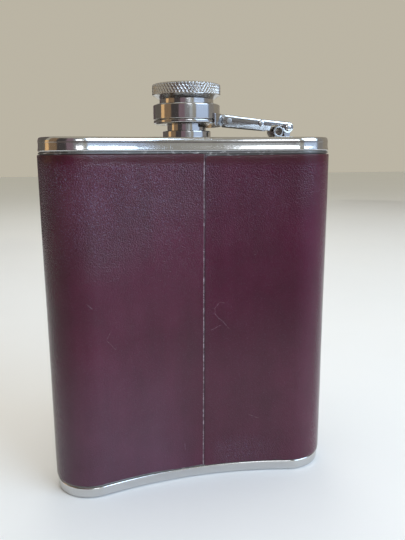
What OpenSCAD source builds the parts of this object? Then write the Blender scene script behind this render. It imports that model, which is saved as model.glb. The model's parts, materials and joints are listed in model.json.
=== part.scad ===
// Hip flask with a leather sleeve and a captive screw cap on a hinged arm.
// Millimetres.  The flask stands on z = 0 with its concave back facing -Y.
// The neck, cap, arm and both pivots lie in the plane y = neck_y.

/* [Flask body] */
// Width across the steel rims
flask_w = 95; // [88:0.5:100]
// Height of the body to the top plate
flask_h = 116.2; // [100:0.2:130]
// Radius of the rounded ends of the outline
end_r = 12.4; // [12:0.1:12.8]
// Radius of the long convex front
front_r = 173; // [160:1:190]
// Radius of the long concave back
back_r = 134; // [125:1:150]
// Height of the bottom steel band
base_band = 3.75; // [3:0.25:6]
// Height of the top steel band
top_band = 4.1; // [3:0.05:5]
// Thickness of the steel tube
wall = 0.6; // [0.5:0.1:0.8]
// Thickness of the leather sleeve
leather_t = 0.85; // [0.6:0.05:1.2]
// Sideways place of the sleeve's butt seam
seam_x = 2.6; // [-10:0.1:10]
// Width of the open slit at the seam
seam_gap = 0.35; // [0.2:0.05:0.6]

/* [Neck] */
// Radius of the soldered base ring
ring_r = 7.9; // [7.4:0.1:8.4]
// Height of the base ring
ring_h = 2.2; // [1.6:0.1:2.4]
// Radius of the neck where it shows below the cap
neck_r = 6.4; // [6.2:0.1:6.6]
// Radius of the pouring bore
bore_r = 4.9; // [4.2:0.1:5.1]

/* [Cap] */
// Radius over the knurl
head_r = 11.1; // [10.6:0.1:11.6]
// Height of the knurled band
head_h = 3.5; // [3:0.1:4.5]
// Number of grooves round the head
knurl_n = 48; // [24:4:60]
// Outside radius of the captive collar
collar_r = 10.9; // [10.6:0.1:11.1]
// Outside radius of the cap's sleeve
sleeve_r = 8.8; // [8.6:0.1:8.9]

/* [Arm] */
// Width of the arm over its two cheeks
arm_w = 5.2; // [5:0.1:6]
// Sheet thickness of the arm
arm_t = 0.7; // [0.6:0.1:0.8]
// Radius of the two hinge pins
pin_r = 0.8; // [0.7:0.05:0.9]

/* [Hidden] */
$fn = 96;
LONG = 360;                 // segments for a full turn of the long arcs

// outline: two end circles joined by two long arcs, all tangent
end_x = flask_w / 2 - end_r;
front_y = -sqrt(pow(front_r - end_r, 2) - pow(end_x, 2));
back_y = -sqrt(pow(back_r + end_r, 2) - pow(end_x, 2));
front_a = atan2(end_x, -front_y);
back_a = atan2(end_x, -back_y);
depth_mid = (front_y + front_r - end_r) / 2;
far = 60;

// layers of the body, as distances outside the rim's outline
rim_t = 0.45;               // sheet thickness of the two rim trays
shell_out = -0.5;           // outside of the tube, just inside the trays
shell_in = shell_out - wall;
leather_in = shell_out + 0.03;
leather_out = leather_in + leather_t;
plate_t = 0.8;
band_edge = flask_h - top_band;
bead_h = 0.55;              // swaged lips next to the two bands
top_bead = band_edge - 0.45 - bead_h;
bottom_bead = base_band + 0.15;
leather_bottom = bottom_bead + bead_h + 0.1;
leather_top = top_bead - 0.1;

// neck and cap stack, along the neck's axis
neck_y = 2.1;
ring_top = flask_h + ring_h;
flange_bottom = flask_h + 4.25;
flange_h = 1.25;
collar_bottom = flange_bottom + flange_h + 0.2;
collar_h = 4.8;
collar_top = collar_bottom + collar_h;
head_bottom = flask_h + 13.3;
head_top = head_bottom + head_h;
skirt_h = 1.3;              // sloping underside of the head
head_foot = head_bottom - skirt_h;
thread_r = 6.2;
thread_root_r = 5.75;
thread_pitch = 1.4;
neck_top = flask_h + 8.4;
liner_bottom = neck_top + 0.15;
liner_h = 1.4;
cap_bore_r = 7.15;
socket_h = 1.8;             // depth the sleeve sits in the head

// the two pivots, both along Y
hinge = [34.6, flask_h + 3.45];
pivot = [13.85, flask_h + 5.5];
knuckle_r = 1.9;
fork_r = 2;
tongue_w = arm_w - 2 * arm_t - 0.4;
run = 0.06;                 // running clearance on the pins
press = 0.02;               // clearance of a pressed pin
pin_head_r = 1.3;
pin_head_t = 0.45;
rivet = [25, flask_h + 4.8];
roll = [30.9, flask_h + 2.05];
roll_r = 1.85;
saddle_r = collar_r + 0.75;
saddle_a = 54;
saddle_z = [flask_h + 3.55, flask_h + 7.5];

STEEL = [0.78, 0.78, 0.80];
LEATHER = [0.27, 0.10, 0.16];
LINER = [0.85, 0.84, 0.80];

// ---- outline helpers ----

// flask outline grown by t
module outline(t) {
    translate([0, -depth_mid]) {
        intersection() {
            difference() {
                translate([0, front_y]) circle(r = front_r + t, $fn = LONG);
                translate([0, back_y]) circle(r = back_r - t, $fn = LONG);
            }
            polygon([
                [end_x, 0],
                [end_x + far * sin(front_a), far * cos(front_a)],
                [-end_x - far * sin(front_a), far * cos(front_a)],
                [-end_x, 0],
                [-end_x + far * sin(back_a), -far * cos(back_a)],
                [end_x - far * sin(back_a), -far * cos(back_a)]
            ]);
        }
        for (s = [-1, 1])
            difference() {
                translate([s * end_x, 0]) circle(r = end_r + t);
                polygon([
                    [s * end_x, 0],
                    [s * (end_x + far * sin(front_a)), far * cos(front_a)],
                    [-s * far, far * cos(front_a)],
                    [-s * far, -far * cos(back_a)],
                    [s * (end_x - far * sin(back_a)), -far * cos(back_a)]
                ]);
            }
    }
}

// hollow band between two offsets of the outline
module band(z, h, t_out, t_in) {
    translate([0, 0, z])
        linear_extrude(h)
            difference() {
                outline(t_out);
                outline(t_in);
            }
}

// flat sheet with a small stepped edge, like a drawn corner
module sheet(z, h, t) {
    translate([0, 0, z]) linear_extrude(h) outline(t);
}

// ring about the neck axis, with a profile of [radius, height] points
module turned(points) {
    translate([0, neck_y, 0]) rotate_extrude() polygon(points);
}

// side profile in X and Z, w wide about the neck plane
module side(w) {
    translate([0, neck_y + w / 2, 0])
        rotate([90, 0, 0])
            linear_extrude(w) children();
}

module at(p) {
    translate([p[0], p[1]]) children();
}

// ---- flask ----

module body_shell() color(STEEL) {
    band(plate_t + 0.1, flask_h - 2 * plate_t - 0.2, shell_out, shell_in);
    for (z = [bottom_bead, top_bead])
        band(z, bead_h, -0.02, shell_out - 0.2);
}

module top_plate() color(STEEL)
    difference() {
        union() {
            band(band_edge, top_band - 0.4, 0, -rim_t);
            sheet(flask_h - plate_t, plate_t - 0.4, 0);
            sheet(flask_h - 0.4, 0.25, -0.12);
            sheet(flask_h - 0.15, 0.15, -0.4);
        }
        translate([0, neck_y, flask_h - 2]) cylinder(r = neck_r + press, h = 4);
    }

module base_plate() color(STEEL) {
    sheet(0, 0.3, -0.55);
    sheet(0.3, 0.5, -0.15);
    band(plate_t, base_band - plate_t, 0, -rim_t);
    sheet(0.55, plate_t - 0.55, 0);
}

module leather_wrap() color(LEATHER)
    difference() {
        band(leather_bottom, leather_top - leather_bottom, leather_out, leather_in);
        translate([seam_x - seam_gap / 2, -far, leather_bottom - 1])
            cube([seam_gap, far, flask_h]);
    }

module neck_ring() color(STEEL)
    turned([
        [neck_r + press, flask_h], [ring_r, flask_h],
        [ring_r, ring_top - 0.6], [ring_r - 0.2, ring_top - 0.2],
        [ring_r - 0.6, ring_top], [neck_r + press, ring_top]
    ]);

module neck_tube() color(STEEL) {
    difference() {
        union() {
            turned([
                [bore_r, flask_h - 1.4], [neck_r, flask_h - 1.4],
                [neck_r, flange_bottom + 0.3], [thread_root_r, flange_bottom + 0.9],
                [thread_root_r, neck_top - 0.3], [thread_root_r - 0.3, neck_top],
                [bore_r, neck_top]
            ]);
            for (i = [0 : 1])
                translate([0, 0, flange_bottom + 1.2 + i * thread_pitch])
                    turned([
                        [thread_root_r - 0.2, 0], [thread_root_r, 0],
                        [thread_r, 0.45], [thread_r, 0.65],
                        [thread_root_r, 1.1], [thread_root_r - 0.2, 1.1]
                    ]);
        }
    }
}

module hinge_bracket() color(STEEL)
    difference() {
        union() {
            side(tongue_w) {
                at(hinge) circle(r = knuckle_r - 0.2);
                translate([hinge[0] - 0.8, flask_h + 0.3])
                    square([1.7, hinge[1] - flask_h - 0.3]);
            }
            translate([29.4, neck_y - 3, flask_h]) cube([7.2, 6, 0.5]);
        }
        side(far) at(hinge) circle(r = pin_r + run);
        side(far) at(roll) circle(r = roll_r + 0.02);
    }

module stop_roll() color(STEEL)
    side(6.4) difference() {
        at(roll) circle(r = roll_r);
        at(roll) circle(r = roll_r - 0.65);
    }

// ---- arm ----

module arm_outline() {
    polygon([
        [pivot[0], pivot[1] - fork_r], [28, flask_h + 2.65],
        [28.9, flask_h + 4.2], [hinge[0] - 1, hinge[1] + 0.6],
        [hinge[0], hinge[1] + knuckle_r - 0.02],
        [pivot[0], pivot[1] + fork_r - 0.02]
    ]);
    at(pivot) circle(r = fork_r);
    at(hinge) circle(r = knuckle_r);
}

module arm_channel() color(STEEL)
    difference() {
        side(arm_w) arm_outline();
        // inside of the channel, closed only by the top web
        side(arm_w - 2 * arm_t)
            polygon([
                [pivot[0] + 0.8, pivot[1] - 9], [hinge[0] - 2.6, pivot[1] - 9],
                [hinge[0] - 2.6, hinge[1] + 1.25], [pivot[0] + 0.8, pivot[1] + 1.3]
            ]);
        // open at both ends for the lug and the tongue
        side(arm_w - 2 * arm_t)
            translate([pivot[0] - 9, pivot[1] - 9]) square([9.81, 20]);
        side(arm_w - 2 * arm_t)
            translate([hinge[0] - 2.61, pivot[1] - 12]) square([12, 20]);
        for (p = [hinge, pivot, rivet])
            side(far) at(p) circle(r = pin_r + press);
    }

// headed pin along Y through a pair of cheeks
module cross_pin(p, r, head_r, head_t) {
    side(arm_w + 0.1) at(p) circle(r = r);
    for (s = [-1, 1])
        translate([0, s * (arm_w / 2 + 0.03 + head_t / 2), 0])
            side(head_t) at(p) circle(r = head_r);
}

module arm_rivet() color(STEEL) cross_pin(rivet, pin_r, 1.05, 0.3);

module hinge_pin() color(STEEL) cross_pin(hinge, pin_r, pin_head_r, pin_head_t);

// ---- collar ----

module collar_band() color(STEEL)
    turned([
        [sleeve_r + 0.08, collar_bottom], [collar_r - 0.2, collar_bottom],
        [collar_r, collar_bottom + 0.2], [collar_r, collar_top - 0.9],
        [collar_r - 0.25, collar_top - 0.3], [collar_r - 0.8, collar_top],
        [sleeve_r + 0.08, collar_top]
    ]);

module collar_lug() color(STEEL)
    difference() {
        union() {
            // saddle hugging the collar, with a skirt clear of the flange
            translate([0, neck_y, 0]) rotate(-saddle_a)
                rotate_extrude(angle = 2 * saddle_a) polygon([
                    [collar_r + 0.01, collar_bottom + 0.2], [collar_r + 0.2, collar_bottom],
                    [collar_r + 0.2, saddle_z[0]], [saddle_r, saddle_z[0]],
                    [saddle_r, saddle_z[1]], [collar_r + 0.01, saddle_z[1]]
                ]);
            side(tongue_w) {
                at(pivot) circle(r = 1.25);
                translate([saddle_r - 0.5, pivot[1] - 1.1])
                    square([pivot[0] - saddle_r + 0.5, 2.2]);
            }
        }
        side(far) at(pivot) circle(r = pin_r + run);
    }

module collar_pin() color(STEEL) cross_pin(pivot, pin_r, pin_head_r, pin_head_t);

// ---- cap ----

module cap_head() color(STEEL)
    translate([0, neck_y, 0]) {
        translate([0, 0, head_bottom])
            linear_extrude(head_h - 0.35)
                difference() {
                    circle(r = head_r);
                    for (i = [0 : knurl_n - 1])
                        rotate(i * 360 / knurl_n) translate([head_r + 0.12, 0])
                            rotate(45) square(0.75, center = true);
                    circle(r = sleeve_r + press);
                }
        rotate_extrude() polygon([
            [sleeve_r + press, head_foot], [head_r - 0.5, head_bottom],
            [sleeve_r + press, head_bottom]
        ]);
        translate([0, 0, head_foot + socket_h])
            cylinder(r = sleeve_r + press, h = head_top - 0.35 - head_foot - socket_h);
        rotate_extrude() polygon([
            [0, head_top - 0.35], [head_r - 0.45, head_top - 0.35],
            [head_r - 0.8, head_top], [0, head_top]
        ]);
    }

module cap_sleeve() color(STEEL)
    turned([
        [cap_bore_r + 0.3, flange_bottom], [sleeve_r, flange_bottom],
        [sleeve_r, head_foot + socket_h - 0.02], [0, head_foot + socket_h - 0.02],
        [0, liner_bottom + liner_h + 0.02], [cap_bore_r, liner_bottom + liner_h + 0.02],
        [cap_bore_r, flange_bottom + 0.3]
    ]);

module cap_liner() color(LINER)
    translate([0, neck_y, liner_bottom]) cylinder(r = cap_bore_r - 0.05, h = liner_h);

module cap_flange() color(STEEL)
    turned([
        [sleeve_r + press, flange_bottom], [collar_r - 0.55, flange_bottom],
        [collar_r - 0.1, flange_bottom + 0.4], [collar_r - 0.1, flange_bottom + flange_h - 0.15],
        [collar_r - 0.25, flange_bottom + flange_h], [sleeve_r + press, flange_bottom + flange_h]
    ]);

body_shell();
top_plate();
base_plate();
leather_wrap();
neck_ring();
neck_tube();
hinge_bracket();
stop_roll();
arm_channel();
arm_rivet();
hinge_pin();
collar_band();
collar_lug();
collar_pin();
cap_head();
cap_sleeve();
cap_liner();
cap_flange();
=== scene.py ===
"""Looks of the hip flask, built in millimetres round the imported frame."""

import json
import math

import bmesh
import bpy
import numpy as np
from mathutils import Matrix, Vector, noise


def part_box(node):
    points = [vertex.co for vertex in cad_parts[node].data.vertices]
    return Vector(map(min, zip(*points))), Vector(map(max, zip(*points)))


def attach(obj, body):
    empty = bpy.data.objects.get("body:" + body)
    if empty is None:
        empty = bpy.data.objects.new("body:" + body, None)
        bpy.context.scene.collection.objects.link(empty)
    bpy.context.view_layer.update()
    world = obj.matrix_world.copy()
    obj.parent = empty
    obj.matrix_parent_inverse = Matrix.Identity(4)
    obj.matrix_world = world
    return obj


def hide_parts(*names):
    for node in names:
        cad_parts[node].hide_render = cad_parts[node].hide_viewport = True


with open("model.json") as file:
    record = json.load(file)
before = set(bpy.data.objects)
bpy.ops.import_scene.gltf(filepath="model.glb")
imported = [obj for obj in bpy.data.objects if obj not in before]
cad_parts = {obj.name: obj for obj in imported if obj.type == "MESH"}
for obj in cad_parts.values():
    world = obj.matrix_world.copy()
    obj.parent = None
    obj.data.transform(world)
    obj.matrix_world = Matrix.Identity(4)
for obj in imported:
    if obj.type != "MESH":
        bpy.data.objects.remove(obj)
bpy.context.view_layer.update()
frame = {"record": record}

MM = 0.001
scene = bpy.context.scene
scene.view_settings.view_transform = "Standard"


# ---------------- measures


def box_mm(node):
    low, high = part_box(node)
    return [v / MM for v in low], [v / MM for v in high]


def middle_of(node):
    """Middle of a CAD node's box along X and Z."""
    low, high = box_mm(node)
    return (low[0] + high[0]) / 2, (low[2] + high[2]) / 2


def joint_mm(name):
    for joint in frame["record"]["behaviour"]["joints"]:
        if joint["name"] == name:
            return [v / MM for v in joint["pos_m"]]
    raise KeyError(name)


HALF_W = box_mm("top_plate")[1][0]
TOP = box_mm("top_plate")[1][2]
BAND_LOW = box_mm("top_plate")[0][2]
BASE_HIGH = box_mm("base_plate")[1][2]
NECK_Y = (box_mm("neck_ring")[0][1] + box_mm("neck_ring")[1][1]) / 2
HX, _, HZ = joint_mm("arm_swing")
PX, _, PZ = joint_mm("collar_tilt")

# radii of the flask's outline, as in the CAD source
END_R, FRONT_R, BACK_R = 12.4, 173.0, 134.0
# thickness of the bands, and how far the other sheets' faces lie from the outline
SHEET = 0.45
SHELL_OUT, SHELL_IN = -0.5, -1.1
LEATHER_OUT, LEATHER_IN = 0.38, -0.47
LEATHER_LOW = box_mm("leather_wrap")[0][2]
LEATHER_TOP = box_mm("leather_wrap")[1][2]
# where the seam in the leather ends, along x, at its top and its foot
SEAM_TOP, SEAM_LOW = 3.0, 2.1

# the hinge pins and their holes, and half the width of the tongues that the arm's forks hold
PIN_R, PIN_HOLE_R = 0.8, 0.86
TONGUE_HALF = 1.7
THREAD_PITCH = 1.4
# where the cap's head and flange meet its stem
CAP_STEM_R = 8.82
# edges that bend by more degrees than this stay sharp
SMOOTH_BELOW = 38


# ---------------- outline


def outline(step):
    """Points [x, y, nx, ny, arc] round the flask, from the seam anticlockwise."""
    ex = HALF_W - END_R
    fy = -math.sqrt((FRONT_R - END_R) ** 2 - ex**2)
    by = -math.sqrt((BACK_R + END_R) ** 2 - ex**2)
    fa, ba = math.atan2(ex, -fy), math.atan2(ex, -by)
    mid = (fy + FRONT_R - END_R) / 2
    quarter = math.pi / 2
    # centre, radius, first and last angle, and the side that faces outwards
    arcs = [
        (0, by, BACK_R, quarter + ba, quarter - ba, -1),
        (ex, 0, END_R, -quarter - ba, quarter - fa, 1),
        (0, fy, FRONT_R, quarter - fa, quarter + fa, 1),
        (-ex, 0, END_R, quarter + fa, 3 * quarter + ba, 1),
    ]
    points = []
    for cx, cy, r, start, end, side in arcs:
        count = max(8, round(abs(end - start) * r / step))
        for i in range(count):
            a = start + (end - start) * i / count
            c, s = math.cos(a), math.sin(a)
            points.append([cx + r * c, cy + r * s - mid, side * c, side * s])
    points = np.array(points)
    # the nearest point to the seam, kept off the front by a large penalty
    penalty = 99 * (points[:, 1] > 0)
    seam = np.argmin(np.abs(points[:, 0] - (SEAM_TOP + SEAM_LOW) / 2) + penalty)
    points = np.roll(points, -seam, axis=0)
    gaps = np.hypot(*(np.roll(points[:, :2], -1, axis=0) - points[:, :2]).T)
    arc = np.concatenate([[0], np.cumsum(gaps)[:-1]])
    return np.column_stack([points, arc])


def fillet(points, radii, steps=5):
    """Rounds each corner of a closed polygon with its own radius."""
    result = []
    n = len(points)
    for i, r in enumerate(radii):
        p = np.array(points[i], float)
        if r <= 0:
            result.append(p)
            continue
        a = np.array(points[i - 1], float) - p
        b = np.array(points[(i + 1) % n], float) - p
        la, lb = np.linalg.norm(a), np.linalg.norm(b)
        a, b = a / la, b / lb
        angle = math.acos(max(-1, min(1, a @ b)))
        cut = min(r / math.tan(angle / 2), 0.49 * la, 0.49 * lb)
        r = cut * math.tan(angle / 2)
        centre = p + (a + b) / np.linalg.norm(a + b) * r / math.sin(angle / 2)
        start, end = p + a * cut - centre, p + b * cut - centre
        turn = math.acos(max(-1, min(1, start @ end / r**2)))
        for k in range(steps + 1):
            t = k / steps
            v = (math.sin((1 - t) * turn) * start + math.sin(t * turn) * end) / math.sin(turn)
            result.append(centre + v)
    return np.array(result)


def split(points, longest):
    """Adds points along the long sides of a closed polygon."""
    result = []
    for i, p in enumerate(points):
        q = points[(i + 1) % len(points)]
        parts = max(1, math.ceil(np.linalg.norm(q - p) / longest))
        result += [p + (q - p) * k / parts for k in range(parts)]
    return np.array(result)


# ---------------- meshes


def link(name, data):
    obj = bpy.data.objects.new(name, data)
    scene.collection.objects.link(obj)
    return obj


def smooth(mesh, sharp=SMOOTH_BELOW):
    """Shades a mesh smooth, apart from edges that bend by more than sharp degrees."""
    mesh.shade_smooth()
    mesh.set_sharp_from_angle(angle=math.radians(sharp))


def add_object(name, verts, faces, sharp=SMOOTH_BELOW):
    mesh = bpy.data.meshes.new(name)
    mesh.from_pydata((np.asarray(verts) * MM).tolist(), [], faces)
    mesh.update()
    smooth(mesh, sharp)
    return link(name, mesh)


def grid_faces(rows, cols, wrap_rows=True, wrap_cols=True):
    """Quads between neighbouring points of a grid that may close on itself."""
    faces = []
    for i in range(rows if wrap_rows else rows - 1):
        k = (i + 1) % rows
        for j in range(cols if wrap_cols else cols - 1):
            m = (j + 1) % cols
            faces.append((i * cols + j, k * cols + j, k * cols + m, i * cols + m))
    return faces


def loft(name, profile, step=0.8):
    """Sweeps a closed [offset, height] profile round the outline."""
    loop = outline(step)
    rows, cols = len(loop), len(profile)
    t = np.repeat(profile[None, :, 0], rows, axis=0)
    verts = np.empty((rows, cols, 3))
    verts[..., 0] = loop[:, None, 0] + loop[:, None, 2] * t
    verts[..., 1] = loop[:, None, 1] + loop[:, None, 3] * t
    verts[..., 2] = profile[None, :, 1]
    return add_object(name, verts.reshape(-1, 3), grid_faces(rows, cols))


def lathe(name, profile, centre, axis="Z", segments=128, radius=None, closed=True,
          sharp=SMOOTH_BELOW):
    """Turns a [radius, along] profile; radius(r, angle, along) may reshape it."""
    profile = np.asarray(profile, float)
    angles = np.linspace(0, 2 * math.pi, segments, endpoint=False)
    r = np.repeat(profile[None, :, 0], segments, axis=0)
    along = np.repeat(profile[None, :, 1], segments, axis=0)
    if radius is not None:
        r = radius(r, angles[:, None], along)
    verts = np.empty((segments, len(profile), 3))
    if axis == "Z":
        verts[..., 0] = centre[0] + r * np.cos(angles)[:, None]
        verts[..., 1] = centre[1] + r * np.sin(angles)[:, None]
        verts[..., 2] = along
    else:
        verts[..., 0] = centre[0] + r * np.sin(angles)[:, None]
        verts[..., 2] = centre[2] + r * np.cos(angles)[:, None]
        verts[..., 1] = centre[1] + along
    faces = grid_faces(segments, len(profile), True, closed)
    obj = add_object(name, verts.reshape(-1, 3), faces, sharp)
    tidy(obj)
    return obj


def tidy(obj, merge=1e-6):
    """Welds doubled points and turns every face outwards."""
    bm = bmesh.new()
    bm.from_mesh(obj.data)
    bmesh.ops.remove_doubles(bm, verts=bm.verts, dist=merge)
    bmesh.ops.recalc_face_normals(bm, faces=bm.faces)
    bm.to_mesh(obj.data)
    bm.free()


def prism(name, points, y_low, y_high, bevel=0.0, steps=3):
    """Extrudes an [x, z] polygon along Y and rounds its two rims."""
    bm = bmesh.new()
    front = [bm.verts.new((x * MM, y_low * MM, z * MM)) for x, z in points]
    face = bm.faces.new(front)
    out = bmesh.ops.extrude_face_region(bm, geom=[face])
    moved = [v for v in out["geom"] if isinstance(v, bmesh.types.BMVert)]
    bmesh.ops.translate(bm, verts=moved, vec=(0, (y_high - y_low) * MM, 0))
    bmesh.ops.recalc_face_normals(bm, faces=bm.faces)
    if bevel:
        rims = [e for e in bm.edges if len({round(v.co.y, 7) for v in e.verts}) == 1]
        bmesh.ops.bevel(bm, geom=rims, offset=bevel * MM, segments=steps, profile=0.5,
                        affect="EDGES", clamp_overlap=True)
    mesh = bpy.data.meshes.new(name)
    bm.to_mesh(mesh)
    bm.free()
    smooth(mesh)
    return link(name, mesh)


def apply_modifiers(obj):
    graph = bpy.context.evaluated_depsgraph_get()
    mesh = bpy.data.meshes.new_from_object(obj.evaluated_get(graph))
    obj.modifiers.clear()
    obj.data = mesh


def flatten(obj):
    """Keeps wide faces flat-shaded where they meet small rounded edges."""
    mod = obj.modifiers.new("flat", "WEIGHTED_NORMAL")
    mod.keep_sharp = True
    mod.weight = 60
    bpy.context.view_layer.update()
    apply_modifiers(obj)
    return obj


def combine(obj, others, operation="DIFFERENCE"):
    """Cuts the other objects from obj, or adds them to it, and deletes them."""
    for other in others:
        mod = obj.modifiers.new("cut", "BOOLEAN")
        mod.operation = operation
        mod.solver = "EXACT"
        mod.object = other
    bpy.context.view_layer.update()
    apply_modifiers(obj)
    for other in others:
        bpy.data.objects.remove(other)
    return obj


def bevelled(obj, width, angle):
    """Rounds every edge that bends by more than an angle."""
    mod = obj.modifiers.new("edge", "BEVEL")
    mod.width = width * MM
    mod.segments = 2
    mod.limit_method = "ANGLE"
    mod.angle_limit = math.radians(angle)
    mod.harden_normals = False
    bpy.context.view_layer.update()
    apply_modifiers(obj)
    smooth(obj.data, 50)
    return obj


def circle(cx, cz, r, count=40, start=0.0, end=2 * math.pi):
    """Points round a circle, or along an arc with both of its ends."""
    full = abs(end - start) > 2 * math.pi - 1e-6
    steps = count if full else count + 1
    return [
        (cx + r * math.cos(start + (end - start) * i / count),
         cz + r * math.sin(start + (end - start) * i / count))
        for i in range(steps)
    ]


def place(obj, body, material, *nodes, slot="polished_steel"):
    """Gives a piece its material and its body, and hides the CAD nodes it replaces; slot is not
    used.
    """
    obj.data.materials.clear()
    obj.data.materials.append(material)
    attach(obj, body)
    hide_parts(*nodes)
    return obj


# ---------------- materials


class Nodes:
    """Short names for building one material's node tree."""

    def __init__(self, name):
        self.material = bpy.data.materials.new(name)
        self.material.use_nodes = True
        self.tree = self.material.node_tree
        self.bsdf = self.tree.nodes["Principled BSDF"]
        self.object = self.add("ShaderNodeTexCoord").outputs["Object"]

    def add(self, kind, settings=None, **inputs):
        node = self.tree.nodes.new(kind)
        for key, value in (settings or {}).items():
            setattr(node, key, value)
        for key, value in inputs.items():
            self.feed(node.inputs[key], value)
        return node

    def feed(self, socket, value):
        if isinstance(value, bpy.types.NodeSocket):
            self.tree.links.new(value, socket)
        else:
            socket.default_value = value

    def math(self, operation, *values, clamp=False):
        node = self.tree.nodes.new("ShaderNodeMath")
        node.operation = operation
        node.use_clamp = clamp
        for socket, value in zip(node.inputs, values):
            self.feed(socket, value)
        return node.outputs[0]

    def times(self, a, b):
        return self.math("MULTIPLY", a, b)

    def plus(self, a, b, clamp=False):
        return self.math("ADD", a, b, clamp=clamp)

    def minus(self, a, b):
        return self.math("SUBTRACT", a, b)

    def size(self, value):
        return self.math("ABSOLUTE", value)

    def stretch(self, scale):
        node = self.add("ShaderNodeMapping")
        self.feed(node.inputs["Vector"], self.object)
        node.inputs["Scale"].default_value = scale
        return node.outputs[0]

    def noise(self, scale, detail=3.0, rough=0.5, vector=None, distort=0.0):
        node = self.add("ShaderNodeTexNoise", Scale=scale, Detail=detail, Roughness=rough,
                        Distortion=distort)
        self.feed(node.inputs["Vector"], vector or self.object)
        return node.outputs["Fac"]

    def voronoi(self, scale, feature, vector=None):
        node = self.add("ShaderNodeTexVoronoi", {"feature": feature}, Scale=scale)
        self.feed(node.inputs["Vector"], vector or self.object)
        return node.outputs["Distance"]

    def ramp(self, value, stops):
        node = self.add("ShaderNodeValToRGB", Fac=value)
        elements = node.color_ramp.elements
        while len(elements) < len(stops):
            elements.new(0.5)
        for element, (position, colour) in zip(elements, stops):
            element.position = position
            element.color = (*colour, 1)
        return node.outputs["Color"]

    def span(self, value, low, high, new_low=0.0, new_high=1.0):
        """Maps low..high to new_low..new_high and holds the ends."""
        node = self.add("ShaderNodeMapRange", {"clamp": True})
        self.feed(node.inputs["Value"], value)
        for key, number in (("From Min", low), ("From Max", high),
                            ("To Min", new_low), ("To Max", new_high)):
            self.feed(node.inputs[key], number)
        return node.outputs["Result"]

    def mix(self, factor, a, b, blend="MIX"):
        node = self.add("ShaderNodeMix", {"data_type": "RGBA", "blend_type": blend})
        self.feed(node.inputs[0], factor)
        for socket, value in ((node.inputs[6], a), (node.inputs[7], b)):
            if isinstance(value, tuple):
                value = (*value, 1)
            self.feed(socket, value)
        return node.outputs[2]

    def parts(self):
        node = self.add("ShaderNodeSeparateXYZ")
        self.feed(node.inputs[0], self.object)
        return node.outputs

    def bump(self, height, strength, distance, normal=None):
        node = self.add("ShaderNodeBump", Height=height, Strength=strength, Distance=distance)
        if normal is not None:
            self.feed(node.inputs["Normal"], normal)
        return node.outputs["Normal"]

    def surface(self, **values):
        """Sets the shader's sockets, named with _ for a blank, and returns the material."""
        for key, value in values.items():
            socket = self.bsdf.inputs[key.replace("_", " ")]
            if isinstance(value, tuple) and len(value) == 3 and socket.type == "RGBA":
                value = (*value, 1)
            self.feed(socket, value)
        return self.material


def steel(name, rough, wave, grain=(1, 1, 1), tone=0.60):
    """Polished steel: faint cloudiness, drawn polishing lines and fine hairlines."""
    n = Nodes(name)
    cloud = n.noise(110, 4, 0.6)
    lines = n.noise(900, 5, 0.65, n.stretch(grain))
    hair = n.voronoi(700, "DISTANCE_TO_EDGE",
                     n.stretch(tuple(0.12 if g > 1 else 1.0 for g in grain)))
    hair = n.span(hair, 0.0, 0.025, 1.0, 0.0)
    hair = n.times(hair, n.span(n.noise(300, 2), 0.52, 0.66))
    colour = n.mix(cloud, tuple(tone * c for c in (0.93, 0.93, 0.95)),
                   tuple(tone * c for c in (1.05, 1.03, 0.99)))
    rough_value = n.span(n.plus(n.times(cloud, 0.5),
                                n.times(lines, 0.5)), 0.35, 0.68, *rough)
    rough_value = n.plus(rough_value, n.times(hair, 0.09), clamp=True)
    normal = n.bump(lines, wave, 0.0002)
    normal = n.bump(n.noise(260, 2), 0.05, 0.0006, normal)
    normal = n.bump(hair, 0.06, 0.0001, normal)
    return n.surface(Base_Color=colour, Metallic=1.0, Roughness=rough_value, Normal=normal)


# scuffs on the seam side, in mm: the width of each and the (x, z) points along it
SCUFFS = (
    (0.16, ((9.6, 62.6), (7.7, 62.8), (6.2, 61.0), (6.1, 59.3), (6.8, 58.2), (8.6, 56.5),
            (10.9, 53.6))),
    (0.14, ((8.2, 55.0), (5.0, 53.5))),
    (0.13, ((-28.4, 56.4), (-29.8, 54.0), (-28.4, 52.2), (-27.0, 50.4))),
    (0.16, ((-35.4, 66.2), (-33.8, 64.6))),
    (0.16, ((-4.6, 13.8), (-4.4, 11.0))),
    (0.10, ((18.0, 22.0), (21.5, 20.5))),
)

# the leather's colours; the dye's go from its darkest to its palest patches
DYE = ((0.34, (0.046, 0.0036, 0.015)), (0.5, (0.064, 0.0056, 0.022)),
       (0.66, (0.084, 0.0090, 0.031)))
GLUE_STAIN = (0.058, 0.014, 0.017)
# colour of the painted reflection of the pale floor
PAINTED_FLOOR_REFLECTION = (0.22, 0.14, 0.21)
# colour of the painted glints on the grain
PAINTED_GLINT = (0.15, 0.11, 0.19)
SCRATCH = (0.20, 0.11, 0.15)
RAW_EDGE = (0.46, 0.37, 0.41)
SEAM_SHADE = (0.012, 0.004, 0.007)
# heights between which the glued strip under the top edge sets in
GLUE_LINE = (0.107, 0.1095)


def scuff_line(n, x, z, start, end, width):
    """Mask of one straight scratch between two points in mm."""
    dx, dz = end[0] - start[0], end[1] - start[1]
    length = math.hypot(dx, dz)
    ux, uz = dx / length, dz / length
    rx = n.minus(x, start[0] * MM)
    rz = n.minus(z, start[1] * MM)
    along = n.plus(n.times(rx, ux), n.times(rz, uz))
    across = n.minus(n.times(rx, uz), n.times(rz, ux))
    wobble = n.times(n.minus(n.noise(700, 1), 0.5), 0.0004)
    across = n.size(n.plus(across, wobble))
    line = n.span(across, width * 0.4 * MM, width * MM, 1.0, 0.0)
    inside = n.times(n.span(along, -0.3 * MM, 0.4 * MM),
                     n.span(along, (length - 0.4) * MM, (length + 0.3) * MM, 1.0, 0.0))
    return n.times(line, inside)


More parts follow.
